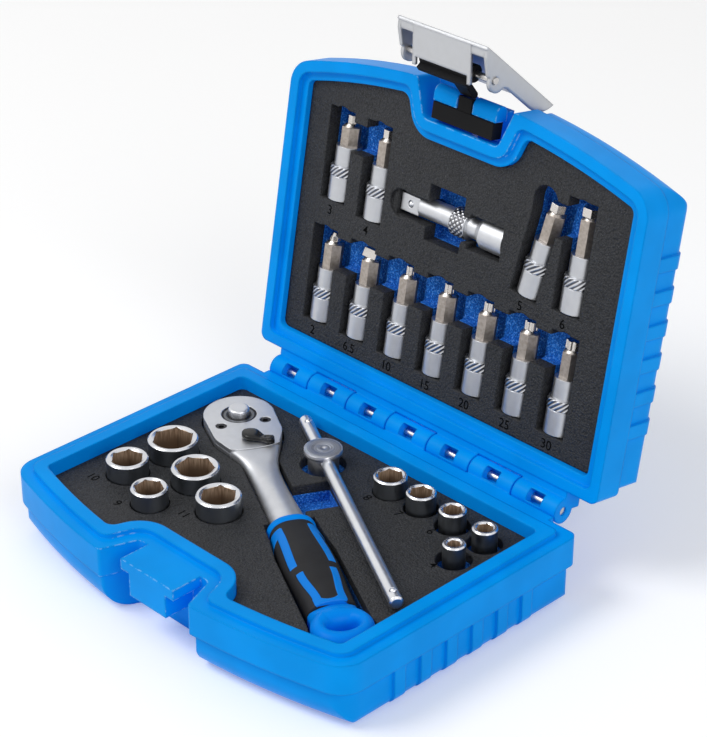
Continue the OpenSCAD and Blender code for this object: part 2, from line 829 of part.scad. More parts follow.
// Six-lobed star: a disc with six round flutes
module star_tip(d) {
    linear_extrude(tip_l) difference() {
        circle(d = d, $fn = 48);
        for (a = [0 : 60 : 300]) rotate(a) translate([d * 0.56, 0]) circle(d = d * 0.32, $fn = 24);
    }
}

module cross_tip() {
    flute = 1.6;
    difference() {
        cylinder(d1 = 4.2, d2 = 2, h = tip_l);
        for (a = [0 : 90 : 270]) rotate([0, 0, a + 45]) translate([0.9, 0, -0.5])
            rotate([0, 12, 0]) translate([0, -flute / 2, 0]) cube([4, flute, tip_l + 2]);
    }
}

module slot_tip() {
    w = 6.2;
    difference() {
        translate([-w / 2, -2, 0]) cube([w, 4, tip_l]);
        for (s = [0, 1]) mirror([0, s, 0]) translate([-w, 2.1, 0]) rotate([20, 0, 0])
            cube([2 * w, 4, 2 * tip_l]);
    }
}

module bit(at) {
    top = holder_l + at[3] - tip_l;
    color(bit_steel) open_lid() lay(at) {
        bit_stem(top);
        translate([0, 0, top - eps]) children();
    }
}

// ---------- ratchet ----------

gear_h = 5.2;
gear_z = -cover_t - gear_h - 0.4;
body_floor = -head_t;
bore_d = gear_d + 0.2;

module handle_profile(g) {
    l = grip_to + 0.1 - shank_l;
    rotate([0, 90, 0]) rotate_extrude() polygon([[0, shank_l], [8.1 + g, shank_l],
        [8.4 + g, shank_l + 0.16 * l], [9.6 + g, shank_l + 0.39 * l], [8.9 + g, shank_l + 0.71 * l],
        [9.4 + g, shank_l + l], [0, shank_l + l]]);
}

module ratchet_body() {
    shank_low = 4.7;
    color(steel) at_ratchet() difference() {
        union() {
            translate([0, 0, body_floor]) head_solid(0, head_t - cover_t);
            translate([neck_at - 6, 0, handle_z]) rotate([0, 90, 0])
                cylinder(r1 = shank_low, r2 = 5.9, h = shank_l - neck_at + 6);
            translate([shank_l - eps, 0, handle_z]) rotate([0, 90, 0]) cylinder(d = 6, h = tang_l);
        }
        translate([0, 0, gear_z - 0.1]) cylinder(d = bore_d, h = far);
        translate([0, 0, body_floor - 1]) cylinder(d = 11.6, h = far);
        translate([selector_at, 0, gear_z - 0.1]) cylinder(d = 9.4, h = far);
        translate([gear_d / 2 - 1, -3.6, gear_z - 0.1]) cube([selector_at - gear_d / 2 + 1, 7.2, far]);
        for (s = [-1, 1]) translate([screw_at.x, s * screw_at.y, -7]) cylinder(d = 2.2, h = far);
    }
}

screw_at = [6.5, 8.1];
selector_at = 17.5;

module ratchet_cover() {
    color(steel) at_ratchet() difference() {
        intersection() {
            translate([0, 0, -cover_t]) head_solid(0, cover_t);
            translate([0, 0, -cover_t - 1]) cylinder(r = cover_nose, h = cover_t + 2);
        }
        translate([0, 0, -cover_t - 1]) cylinder(d = journal_d + 0.1, h = far);
        translate([selector_at, 0, -cover_t - 1]) cylinder(d = 4.6, h = far);
        for (s = [-1, 1]) translate([screw_at.x, s * screw_at.y, -cover_t - 1]) cylinder(d = 4.1, h = far);
    }
}

module ratchet_screws() {
    color(black) at_ratchet() for (s = [-1, 1]) translate([screw_at.x, s * screw_at.y, 0]) difference() {
        union() {
            translate([0, 0, -cover_t]) cylinder(d = 4, h = cover_t - 0.3);
            translate([0, 0, -6.5]) cylinder(d = 2.1, h = 6.5 - cover_t + eps);
        }
        translate([0, 0, -1.2]) cylinder(d = 2.2, h = 2, $fn = 6);
    }
}

module drive_gear() {
    root = gear_d / 2 - 0.8;
    bore = button_d - 1.5;
    color(dark_steel) at_ratchet() difference() {
        union() {
            translate([0, 0, gear_z]) linear_extrude(gear_h) union() {
                circle(r = root);
                for (i = [0 : gear_teeth - 1]) rotate(i * 360 / gear_teeth)
                    polygon([[root - 0.1, -0.55], [gear_d / 2, -0.15], [gear_d / 2, 0.15],
                        [root - 0.1, 0.55]]);
            }
            translate([0, 0, gear_z + gear_h - eps]) cylinder(d = journal_d, h = -gear_z - gear_h - 0.3);
            translate([0, 0, body_floor]) cylinder(d = 11.4, h = gear_z - body_floor + eps);
            translate([-drive_sq / 2, -drive_sq / 2, body_floor - drive_l])
                cube([drive_sq, drive_sq, drive_l + eps]);
        }
        translate([0, 0, -3.5]) cylinder(d = button_d + 0.3, h = far);
        translate([0, 0, body_floor - 3]) cylinder(d = 3.1, h = far);
        translate([0, 0, ball_z]) rotate([0, 90, 0]) cylinder(d = ball_d, h = far);
    }
}

ball_d = 2.6;
ball_z = body_floor - drive_l + 3.4;

module drive_ball() {
    color(steel) at_ratchet() translate([drive_sq / 2 - 0.75, 0, ball_z]) sphere(d = ball_d - 0.1);
}

module release_button() {
    stem = 9;
    low = -3.5 + button_travel + 0.2;
    color(steel) at_ratchet() {
        translate([0, 0, low]) cylinder(d = button_d, h = button_up - low - 0.6);
        translate([0, 0, button_up - 0.6 - eps]) cylinder(d1 = button_d, d2 = button_d - 1.4, h = 0.6);
        translate([0, 0, low - stem]) cylinder(d = 3, h = stem + eps);
    }
}

module ratchet_pawl() {
    r = gear_d / 2 + 0.25;
    color(dark_steel) at_ratchet() translate([0, 0, gear_z]) linear_extrude(gear_h) difference() {
        translate([gear_d / 2 - 0.2, -3.2]) square([selector_at - gear_d / 2 - 2.6, 6.4]);
        circle(r = r);
    }
}

selector_turn = 47;
module selector_lever() {
    color(black) at_ratchet() translate([selector_at, 0, 0]) {
        translate([0, 0, gear_z]) cylinder(d = 4.4, h = -gear_z + 0.4);
        translate([0, 0, 0.3]) cylinder(d = 6.4, h = 2.1);
        rotate([0, 0, selector_turn]) translate([0, -1.9, 0.3]) cube([8, 3.8, 2.1]);
        rotate([0, 0, selector_turn]) translate([8, 0, 0.3]) cylinder(d = 3.8, h = 2.1);
    }
}

module handle_core() {
    r = 5.6;
    end_from = grip_to + 0.4;
    end_w = 9;
    neck_w = 7.6;
    color(azure) at_ratchet() difference() {
        intersection() {
            translate([0, 0, handle_z]) union() {
                translate([shank_l, 0, 0]) rotate([0, 90, 0]) cylinder(r = 8.1, h = 2.6);
                translate([shank_l, 0, 0]) rotate([0, 90, 0]) cylinder(r = r, h = grip_to + 5 - shank_l);
                translate([ring_x, 0, -handle_h / 2]) cylinder(r = handle_end_r, h = handle_h);
                translate([0, 0, -handle_h / 2]) linear_extrude(handle_h)
                    polygon([[end_from, -end_w], [end_from + 7, -end_w], [ring_x - 7, -neck_w],
                        [ring_x, -neck_w], [ring_x, neck_w], [ring_x - 7, neck_w],
                        [end_from + 7, end_w], [end_from, end_w]]);
            }
            translate([shank_l, -far / 2, handle_z - handle_h / 2]) cube([far, far, handle_h]);
        }
        translate([shank_l - 1, 0, handle_z]) rotate([0, 90, 0]) cylinder(d = 6.1, h = tang_l + 1.5);
        // hanging hole, longer across the handle
        translate([ring_x, 0, handle_z - far / 2]) {
            for (s = [-1, 1]) translate([0, s * 2.4, 0]) cylinder(d = 5.6, h = far);
            translate([-2.8, -2.4, 0]) cube([5.6, 4.8, far]);
        }
    }
}

module handle_grip() {
    r = 5.6;
    color(black) at_ratchet() difference() {
        intersection() {
            translate([0, 0, handle_z]) handle_profile(0);
            translate([shank_l + 2.9, -far / 2, handle_z - handle_h / 2])
                cube([grip_to - shank_l - 2.9, far, handle_h]);
        }
        translate([shank_l - 1, 0, handle_z]) rotate([0, 90, 0]) cylinder(r = r + 0.02, h = far);
    }
}

// ---------- sliding T-bar and extension ----------

tee_up = 3.2;
tee_low = -8.5;
tee_drive = 7.5;
stop_in = 4.5;
stop_d = 2.4;

module t_bar_rod() {
    ch = 0.6;
    color(steel) at_rod() difference() {
        rotate([0, 90, 0]) union() {
            cylinder(d1 = rod_d - 2 * ch, d2 = rod_d, h = ch);
            translate([0, 0, ch - eps]) cylinder(d = rod_d, h = rod_l - 2 * ch + 2 * eps);
            translate([0, 0, rod_l - ch]) cylinder(d1 = rod_d, d2 = rod_d - 2 * ch, h = ch);
        }
        for (x = [stop_in, rod_l - stop_in]) translate([x, 0, rod_d / 2 - 2]) cylinder(d = stop_d, h = 4);
    }
}

module t_bar_stops() {
    color(steel) at_rod() for (x = [stop_in, rod_l - stop_in])
        translate([x, 0, rod_d / 2 - 0.7]) sphere(d = stop_d - 0.1);
}

module t_bar_head() {
    disc_t = 2;
    waist = tee_d - 2.5;
    color(steel) at_rod() translate([rod_head, 0, 0]) difference() {
        union() {
            translate([0, 0, tee_up - rod_up - disc_t]) cylinder(d = tee_d, h = disc_t);
            translate([0, 0, tee_low]) cylinder(d = waist, h = tee_up - rod_up - disc_t - tee_low + eps);
            translate([-drive_sq / 2, -drive_sq / 2, tee_low - tee_drive])
                cube([drive_sq, drive_sq, tee_drive + eps]);
        }
        translate([-tee_d, 0, 0]) rotate([0, 90, 0]) cylinder(d = rod_d + 2 * pin_fit, h = 2 * tee_d);
        translate([0, 0, tee_up - rod_up - 1]) cylinder(d1 = 1, d2 = 5, h = 1.01);
    }
}

ext_square = 8.5;
collar_x = 24;
collar_l = 7;
collar_up = 2.4;
module extension_bar() {
    socket_end = 13.5;
    taper = 3;
    color(steel) open_lid() translate([ext_at.x, ext_at.y, rim_z + lying_h]) difference() {
        union() {
            translate([0, -drive_sq / 2, -drive_sq / 2]) cube([ext_square, drive_sq, drive_sq]);
            translate([ext_square - eps, 0, 0]) rotate([0, 90, 0])
                cylinder(d = ext_shaft, h = ext_l - ext_square - socket_end + 2 * eps);
            translate([collar_x, 0, 0]) rotate([0, 90, 0]) cylinder(d = ext_shaft + collar_up, h = collar_l);
            translate([ext_l - socket_end, 0, 0]) rotate([0, 90, 0])
                cylinder(d1 = ext_shaft, d2 = ext_d, h = taper);
            translate([ext_l - socket_end + taper - eps, 0, 0]) rotate([0, 90, 0])
                cylinder(d = ext_d, h = socket_end - taper);
        }
        translate([ext_l - drive_depth, 0, 0]) rotate([0, 90, 0]) square_hole(drive_hole, drive_depth + 1);
        translate([ext_square - 4, 0, -far]) cylinder(d = ball_d, h = far - 0.5);
    }
}

module extension_ball() {
    color(steel) open_lid()
        translate([ext_at.x + ext_square - 4, ext_at.y, rim_z + lying_h - drive_sq / 2 + 0.75])
            sphere(d = ball_d - 0.1);
}

// ---------- nodes ----------

base_shell();
lid_shell();
hinge_pin();
base_foam();
base_core();
lid_foam();
lid_core();
latch_strap_root();
latch_link();
latch_lever();
latch_pin();
ratchet_body();
ratchet_cover();
ratchet_screws();
drive_gear();
drive_ball();
release_button();
ratchet_pawl();
selector_lever();
handle_core();
handle_grip();
t_bar_rod();
t_bar_stops();
t_bar_head();
extension_bar();
extension_ball();
for (s = socket_set) socket(s);
bit_holder(hex3_at);  // holder_hex3
bit_holder(hex4_at);  // holder_hex4
bit_holder(hex5_at);  // holder_hex5
bit_holder(hex6_at);  // holder_hex6
bit_holder(lower_at(0));  // holder_cross
bit_holder(lower_at(1));  // holder_slot
bit_holder(lower_at(2));  // holder_star10
bit_holder(lower_at(3));  // holder_star15
bit_holder(lower_at(4));  // holder_star20
bit_holder(lower_at(5));  // holder_star25
bit_holder(lower_at(6));  // holder_star30
bit(hex3_at) hex_tip(3);  // bit_hex3
bit(hex4_at) hex_tip(4);  // bit_hex4
bit(hex5_at) hex_tip(5);  // bit_hex5
bit(hex6_at) hex_tip(6);  // bit_hex6
bit(lower_at(0)) cross_tip();  // bit_cross
bit(lower_at(1)) slot_tip();  // bit_slot
bit(lower_at(2)) star_tip(2.8);  // bit_star10
bit(lower_at(3)) star_tip(3.35);  // bit_star15
bit(lower_at(4)) star_tip(3.95);  // bit_star20
bit(lower_at(5)) star_tip(4.5);  // bit_star25
bit(lower_at(6)) star_tip(5.6);  // bit_star30
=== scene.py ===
# %% [markdown]
# # A socket set in its case
#
# This file dresses a finished CAD model of a quarter-inch socket set: a blue moulded case
# in two halves, foam beds, a ratchet, a sliding T-bar, an extension, sockets and bit
# sockets. The CAD gives every part its true place and size, so the work here is to give
# each surface the finish it has in the hand, and to add the forms that are easier to draw
# as a formula than as a solid, such as a soft grip, a knurl or a smooth neck.

# %% Load the frame
import math

import numpy as np

import bpy
from mathutils import Matrix


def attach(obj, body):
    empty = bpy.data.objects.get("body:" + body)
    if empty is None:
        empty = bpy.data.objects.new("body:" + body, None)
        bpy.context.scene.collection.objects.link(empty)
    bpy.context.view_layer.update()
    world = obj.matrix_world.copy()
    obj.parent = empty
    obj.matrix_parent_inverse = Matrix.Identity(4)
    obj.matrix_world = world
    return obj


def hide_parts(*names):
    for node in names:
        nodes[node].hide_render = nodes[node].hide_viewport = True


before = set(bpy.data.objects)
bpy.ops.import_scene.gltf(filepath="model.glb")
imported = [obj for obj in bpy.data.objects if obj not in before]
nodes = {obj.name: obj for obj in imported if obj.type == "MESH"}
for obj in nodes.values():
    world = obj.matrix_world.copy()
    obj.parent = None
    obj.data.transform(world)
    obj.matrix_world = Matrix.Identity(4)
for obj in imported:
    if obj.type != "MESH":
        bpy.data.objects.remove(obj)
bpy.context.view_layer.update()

# %% [markdown]
# The lid lies open at its stop, and everything in it is easier to think of with the case
# shut: a bit lies straight, the foam is level. One turn about the hinge takes a point of
# the shut case to where it rests, and lengths are in millimetres until a mesh is made.

# %% Places
HINGE_Y, HINGE_Z = 66.9, 26.0
OPEN = math.radians(99.86)
COS_OPEN, SIN_OPEN = math.cos(OPEN), math.sin(OPEN)
RIM = 26.0
BASE_FOAM = 22.5
LID_FOAM = 30.2
RATCHET = (-55.6, 33.2, 25.5, math.radians(-27.9))
T_BAR = (-35.5, 46.9, 25.7, math.radians(-29.2))


def lid_place(p):
    """Turns points of the shut case by the opening angle about the hinge line."""
    p = np.asarray(p, float)
    y, z = p[..., 1] - HINGE_Y, p[..., 2] - HINGE_Z
    return np.stack([p[..., 0], HINGE_Y + y * COS_OPEN + z * SIN_OPEN,
                     HINGE_Z - y * SIN_OPEN + z * COS_OPEN], axis=-1)


def tool_place(p, at):
    """Turns points about Z by the tool's angle and moves them to its place in the base."""
    p = np.asarray(p, float)
    c, s = math.cos(at[3]), math.sin(at[3])
    return np.stack([at[0] + c * p[..., 0] - s * p[..., 1],
                     at[1] + s * p[..., 0] + c * p[..., 1], at[2] + p[..., 2]], axis=-1)


# %% [markdown]
# Every new piece is a surface on a grid. A formula gives one point for each pair of
# numbers (row, column), worked out for the whole array at once, and one helper turns the
# grid into quads. It closes the ends, and turns the faces outwards by the sign of the
# volume they enclose, so a formula may run either way round.

# %% Grid to mesh
def grid_quads(rows, cols, wrap):
    """Joins each grid point to its right, lower and diagonal neighbours; wrap closes each row."""
    a = np.arange(rows * cols).reshape(rows, cols)
    b = np.roll(a, -1, axis=1) if wrap else a[:, 1:]
    a = a if wrap else a[:, :-1]
    return np.stack([a[:-1], b[:-1], b[1:], a[1:]], axis=-1).reshape(-1, 4)


def enclosed(points, faces):
    """Volume under the faces: a sixth of the sum of the triple products of their corners."""
    return sum(np.einsum("ij,ij->i", points[faces[:, 0]],
                         np.cross(points[faces[:, i]], points[faces[:, i + 1]])).sum()
               for i in (1, 2)) / 6


def mesh_piece(name, points, faces, body, finish, smooth=True):
    """Puts points in millimetres and faces into a mesh in metres that rides on a body."""
    mesh = bpy.data.meshes.new(name)
    mesh.from_pydata((np.asarray(points, float) / 1000).tolist(), [], faces)
    mesh.polygons.foreach_set("use_smooth", [smooth] * len(mesh.polygons))
    mesh.materials.append(finish)
    mesh.update()
    piece = bpy.data.objects.new(name, mesh)
    bpy.context.scene.collection.objects.link(piece)
    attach(piece, body)
    return piece


def grid_piece(name, grid, body, finish, wrap=True, ends=True, smooth=True, values=None):
    """A surface from a grid of points (rows, columns, 3), with its two ends closed."""
    rows, cols = grid.shape[:2]
    points = grid.reshape(-1, 3)
    quads = grid_quads(rows, cols, wrap)
    inside_out = wrap and enclosed(points - points.mean(0), quads) < 0
    faces = quads[:, ::-1].tolist() if inside_out else quads.tolist()
    if ends and wrap:
        first, last = list(range(cols)), list(range((rows - 1) * cols, rows * cols))
        faces += [first, last[::-1]] if inside_out else [first[::-1], last]
    piece = mesh_piece(name, points, faces, body, finish, smooth)
    for key, array in (values or {}).items():
        piece.data.attributes.new(key, "FLOAT", "POINT").data.foreach_set(
            "value", np.asarray(array, np.float32).reshape(-1))
    print(name, len(faces), "faces")
    return piece


def unit(n, ends=False):
    """n numbers from 0 to 1, the last left out unless ends is true."""
    return np.linspace(0, 1, n, endpoint=ends)


def ease(x, lo, hi):
    """Smooth step: 0 below lo, 1 above hi, with level ends between."""
    t = np.clip((np.asarray(x, float) - lo) / (hi - lo), 0, 1)
    return t * t * (3 - 2 * t)


# %% [markdown]
# ## Finishes
#
# A finish is a small program on each point of a surface. The class below wraps one shader
# socket, so that a formula is written as Python writes it and each operator adds its Math
# node. Colours and vectors go through nodes of their own, because a Math node turns a
# colour grey.

# %% Shader maths
class Wire:
    """A shader socket that Python's operators work on."""

    def __init__(self, tree, socket):
        self.tree, self.socket = tree, socket

    def node(self, kind, inputs=(), out=0, stops=None, **settings):
        """Adds any node: its settings first, then the value or link of each input."""
        made = self.tree.nodes.new("ShaderNode" + kind)
        for key, value in settings.items():
            setattr(made, key, value)
        if stops:
            for _ in stops[2:]:
                made.color_ramp.elements.new(0.5)
            for element, (at, colour) in zip(made.color_ramp.elements, stops):
                element.position, element.color = at, (*colour, 1)
        pairs = inputs.items() if isinstance(inputs, dict) else enumerate(inputs)
        for key, value in pairs:
            if isinstance(value, Wire):
                self.tree.links.new(value.socket, made.inputs[key])
            else:
                made.inputs[key].default_value = value
        return Wire(self.tree, made.outputs[out])

    def math(self, operation, *values):
        return self.node("Math", values, operation=operation)

    def __add__(self, other):
        return self.math("ADD", self, other)

    def __sub__(self, other):
        return self.math("SUBTRACT", self, other)

    def __rsub__(self, other):
        return self.math("SUBTRACT", other, self)

    def __mul__(self, other):
        return self.math("MULTIPLY", self, other)

    def __truediv__(self, other):
        return self.math("DIVIDE", self, other)

    def __pow__(self, other):
        return self.math("POWER", self, other)

    def __lt__(self, other):
        return self.math("LESS_THAN", self, other)

    def __gt__(self, other):
        return self.math("GREATER_THAN", self, other)

    __radd__, __rmul__ = __add__, __mul__

    def step(self, lo, hi):
        """0 below lo and 1 above hi, smooth between."""
        return self.node("MapRange", {"Value": self, "From Min": lo, "From Max": hi},
                         interpolation_type="SMOOTHSTEP")

    def mix(self, a, b):
        """Colour a where this is 0 and colour b where it is 1."""
        pad = [c if isinstance(c, Wire) else (*c, 1) for c in (a, b)]
        return self.node("Mix", {0: self, 6: pad[0], 7: pad[1]}, out=2, data_type="RGBA")

    def parts(self):
        """The x, y and z of a vector."""
        split = self.node("SeparateXYZ", [self])
        return [Wire(self.tree, s) for s in split.socket.node.outputs]

    def noise(self, scale, detail=2.0, rough=0.5):
        """Cloudy noise, scale features per millimetre."""
        return self.node("TexNoise", {"Vector": self, "Scale": scale, "Detail": detail,
                                      "Roughness": rough})

    def cells(self, scale, feature="F1"):
        """Distance to the nearest of random points, scale points per millimetre."""
        return self.node("TexVoronoi", {"Vector": self, "Scale": scale}, feature=feature)


def begin(name, **fixed):
    """A material with fixed shader values; returns it, its shader and the place in mm."""
    material = bpy.data.materials.new(name)
    material.use_nodes = True
    tree = material.node_tree
    shader = tree.nodes["Principled BSDF"]
    for key, value in fixed.items():
        shader.inputs[key.replace("_", " ")].default_value = value
    place = Wire(tree, tree.nodes.new("ShaderNodeTexCoord").outputs["Object"])
    return material, shader, place.node("VectorMath", [place, (1000, 1000, 1000)],
                                        operation="MULTIPLY")


def feed(shader, **links):
    """Links wires to the shader's sockets, or sets plain values."""
    for key, value in links.items():
        socket = shader.inputs[key.replace("_", " ")]
        if isinstance(value, Wire):
            shader.id_data.links.new(value.socket, socket)
        else:
            socket.default_value = value


def soft_edges(place, radius, samples=6):
    """The normal as if each sharp edge had a small round of this radius in millimetres."""
    return place.node("Bevel", {"Radius": radius / 1000}, samples=samples)


def bump(place, height, depth, normal=None, strength=1.0):
    """Tilts the normal by a height from 0 to 1 that stands for depth in millimetres."""
    inputs = {"Height": height, "Strength": strength, "Distance": depth / 1000}
    if normal is not None:
        inputs["Normal"] = normal
    return place.node("Bump", inputs)


def dress(finish, *names):
    """Gives CAD nodes a finish."""
    for name in names:
        nodes[name].material_slots[0].material = finish


# %% [markdown]
# ### Moulded plastic
#
# The case is polypropylene, moulded in an etched steel tool: an even azure with a soft
# gloss and a very fine grain. Its mass colour barely varies, so the life is in the gloss,
# which noise makes uneven, and in rounded edges that catch the light. Where such plastic
# has been bent, as at the notch and the lugs, it turns milky; an edge test finds those
# places: the softened normal and the true one differ only at an edge. A faint blue glow
# over all of it is painted light, which lifts the faces in shade towards the deep blue
# that light brings back out of the plastic.

# %% Azure plastic
def plastic(name, colour, rough, edge=0.5, stress=None, painted_glow=0.0):
    """Moulded plastic. The function stress of (x, y, z) marks where edges turn milky, and
    painted_glow is the strength of a blue emission, painted light that lifts the shaded faces."""
    material, shader, place = begin(name, Specular_IOR_Level=0.05)
    # Painted light: a faint blue emission that lifts the faces in shade.
    shader.inputs["Emission Color"].default_value = (0, 0, 1, 1)
    shader.inputs["Emission Strength"].default_value = painted_glow
    rounded = soft_edges(place, edge)
    tint = place.noise(0.05, 2).step(0.3, 0.7).mix([c * 0.94 for c in colour],
                                                   [min(c * 1.05, 1) for c in colour])
    if stress:
        true = place.node("NewGeometry", out="Normal")
        same = place.node("VectorMath", [rounded, true], out=1, operation="DOT_PRODUCT")
        worn = (1 - same).step(0.05, 0.22) * stress(*place.parts())
        worn = worn * place.noise(0.6, 3).step(0.44, 0.6)
        tint = (worn * 0.85).mix(tint, MILKY)
    gloss = rough + 0.08 * (place.noise(0.25, 3) - 0.5) + 0.02 * place.noise(4, 2)
    feed(shader, Base_Color=tint, Roughness=gloss,
         Normal=bump(place, place.noise(3.2, 3, 0.6), 0.012, rounded))
    return material


AZURE = (0.0001, 0.310, 0.760)
MILKY = (0.36, 0.72, 0.95)
NOTCH_HALF = 24


def base_stress(x, y, z):
    """Milky plastic round the tongue and the notch of the base."""
    return (x.math("ABSOLUTE", x) < NOTCH_HALF) * (y < -43) * (z > 12)


def lid_stress(x, y, z):
    """Milky plastic round the notch and the lugs of the lid."""
    return (x.math("ABSOLUTE", x) < NOTCH_HALF) * (z > 133)


azure_base = plastic("azure, base", AZURE, 0.30, 1.1, base_stress, 0.1)
azure_lid = plastic("azure, lid", AZURE, 0.30, 1.1, lid_stress, 0.1)
azure_handle = plastic("azure, handle", (0.0001, 0.25, 0.76), 0.33, edge=0.6, painted_glow=0.08)
black_plastic = plastic("black plastic", (0.013, 0.013, 0.014), 0.33, edge=0.4)
dress(azure_base, "base_shell")
dress(azure_lid, "lid_shell")
dress(black_plastic, "latch_strap_root", "latch_link", "selector_lever")
print("plastics on the shells and the latch's strap")

# %% [markdown]
# ### Foam
#
# The bed is two sheets of closed-cell foam. The black top sheet is embossed like leather,
# in pebbles less than a millimetre wide with narrow valleys, which cell noise gives; its
# colour is lighter on the pebble tops and darker in the valleys, as painted highlight and
# shade, with a scatter of light specks as painted glints. The blue core is cut with a
# knife, so its skin is gone and the open cells sparkle in lighter and darker blue.

# %% Foam
def foam_skin():
    """Black pebbles: the height is high in the middle of each cell, with fine noise on it.
    The colour follows the height: painted highlight on the tops, painted shade in the
    valleys, with light specks painted as glints.
    """
    material, shader, place = begin("black foam", Specular_IOR_Level=0.3)
    rounded = soft_edges(place, 0.9)
    pebble = place.cells(1.5, "SMOOTH_F1")
    fine = place.noise(2.2, 3, 0.65)
    hills = 0.9 - 0.9 * pebble + 0.55 * fine
    # Painted highlight and shade: lighter on the pebble tops, darker in the valleys, with a little
    # random tone.
    tint = (0.25 * place.noise(0.06, 2) + 0.75 * hills).step(0.35, 0.95).mix(
        (0.0045, 0.0048, 0.0052), (0.031, 0.032, 0.035))
    # Painted glints: small light grey specks on the black.
    painted_glint = place.noise(2.6, 2).step(0.60, 0.74)
    feed(shader, Base_Color=(painted_glint * 0.6).mix(tint, (0.13, 0.135, 0.145)),
         Roughness=0.46 + 0.2 * fine, Normal=bump(place, hills, 0.42, rounded))
    return material


def foam_core():
    """Cut blue cells: four blues by a mix of fine grit and cells."""
    material, shader, place = begin("blue foam", IOR=1.4)
    rounded = soft_edges(place, 0.7)
    cell = place.cells(1.5)
    grit = place.noise(2.4, 3, 0.7)
    mixed = 0.6 * grit + 0.4 * cell
    tint = mixed.node(
        "ValToRGB", [mixed],
        stops=[(0.25, (0.001, 0.028, 0.200)), (0.44, (0.002, 0.105, 0.520)),
               (0.58, (0.010, 0.215, 0.780)), (0.70, (0.20, 0.48, 0.95))])
    feed(shader, Base_Color=tint, Roughness=0.8,
         Normal=bump(place, 0.7 * cell + 0.6 * grit, 0.3, rounded))
    return material


black_foam = foam_skin()
blue_foam = foam_core()
dress(black_foam, "base_foam", "lid_foam")
dress(blue_foam, "base_core", "lid_core")
print("foam on both beds")

# %% [markdown]
# ### Metals
#
# All the tools are chrome-vanadium steel with a nickel-chrome skin, but not all alike: the
# rod and the socket rims are polished, the ratchet and the holders are blasted to a satin
# first. The bits are bare tool steel, brown-grey and dull with bright ground tips. A metal
# is only its tint and its roughness, so both vary a little, as handling does.

# %% Steel and chrome
def metal(name, tint, rough, edge=0.25, grain=0.0, spots=0.05, wave=1.2):
    """Metal with a softened edge. Grain is the depth in mm of a blasted surface, and spots
    is how far the roughness varies, wave times per millimetre."""
    material, shader, place = begin(name, Metallic=1.0)
    rounded = soft_edges(place, edge)
    cloud = place.noise(0.35, 3)
    feed(shader, Base_Color=cloud.step(0.2, 0.8).mix([c * 0.93 for c in tint], tint),
         Roughness=rough + spots * (place.noise(wave, 3) - 0.5) + 0.05 * cloud,
         Normal=bump(place, place.noise(7, 2), grain, rounded) if grain else rounded)
    return material


satin = metal("satin chrome", (0.62, 0.63, 0.655), 0.44, 0.5, 0.012)
holder_satin = metal("holder chrome", (0.54, 0.552, 0.58), 0.34, 0.3, 0.02, 0.2, 0.6)
polished = metal("polished chrome", (0.74, 0.75, 0.78), 0.27, 0.35, 0.0, 0.04)
zinc = metal("zinc plate", (0.54, 0.55, 0.57), 0.42, 1.2, 0.012, 0.2, 0.35)
blackened = metal("blackened steel", (0.055, 0.055, 0.06), 0.38, 0.2)
pin_steel = metal("pin steel", (0.62, 0.60, 0.58), 0.25, 0.2)
dress(satin, "ratchet_body", "ratchet_cover", "extension_bar")
dress(polished, "release_button", "t_bar_rod", "t_bar_head", "t_bar_stops", "drive_ball",
      "extension_ball")
dress(zinc, "latch_lever")
dress(blackened, "ratchet_pawl", "ratchet_screws")
dress(pin_steel, "hinge_pin", "latch_pin")
print("six metals")

# %% [markdown]
# A socket is three finishes on one piece: a polished rim, a satin wall, and inside the
# hexagon the brown of bare broached steel, darker towards the bottom of the hexagon as
# painted shade. The CAD mesh is one piece, so the finish finds its zones by the distance
# from the socket's axis and by the height.

# %% Sockets
SOCKETS = [(13, -54.9, 1.6), (12, -35, -5.4), (11, -15.9, -11.7), (10, -55.9, -18.3),
           (9, -36, -25.2), (8, 15.9, 38.4), (7, 30.5, 38.4), (6, 45.5, 38), (5, 60.5, 37.6),
           (4, 59.8, 23.6)]
SOCKET_TOP = 29.2
HEXAGON_PLAY = 0.15


def socket_finish(size, cx, cy):
    """Rim, wall and hexagon of the socket whose axis stands at (cx, cy); the hexagon's
    brown darkens towards its bottom as painted shade.
    """
    material, shader, place = begin(f"socket {size}")
    x, y, z = place.parts()
    away = ((x - cx) ** 2 + (y - cy) ** 2) ** 0.5
    corner = (size + HEXAGON_PLAY) / 2 / math.cos(math.radians(30))
    inside = (away < corner + 0.03) * (z < SOCKET_TOP - 0.5)
    rim = (z - (SOCKET_TOP - 0.7)).step(0, 0.2)
    drawn = place.node("VectorMath", [place, (1.0, 1.0, 0.12)], operation="MULTIPLY")
    streak = drawn.noise(1.6, 3)
    wall = rim.mix((0.30, 0.32, 0.345), (0.66, 0.67, 0.70))
    # Painted shade: the brown darkens towards the bottom of the hexagon.
    above_painted_shade = (z - (SOCKET_TOP - 6)).step(0, 5)
    brown = streak.step(0.3, 0.7).mix((0.30, 0.20, 0.13), (0.62, 0.46, 0.33))
    brown = above_painted_shade.mix((0.22, 0.15, 0.10), brown)
    rough = 0.30 - 0.06 * rim + 0.08 * (streak - 0.5)
    feed(shader, Base_Color=inside.mix(wall, brown), Roughness=rough + 0.1 * inside,
         Metallic=1 - 0.5 * inside, Normal=soft_edges(place, 0.2))
    return material


for size, cx, cy in SOCKETS:
    dress(socket_finish(size, cx, cy), f"socket_{size}")
print(len(SOCKETS), "sockets dressed")

# %% [markdown]
# A bit's shank keeps the brown skin of its heat treatment and its tip is ground bright.
# The tip starts four millimetres before the end, measured along the bit in the shut case,
# so the finish turns the point back by the opening angle first.

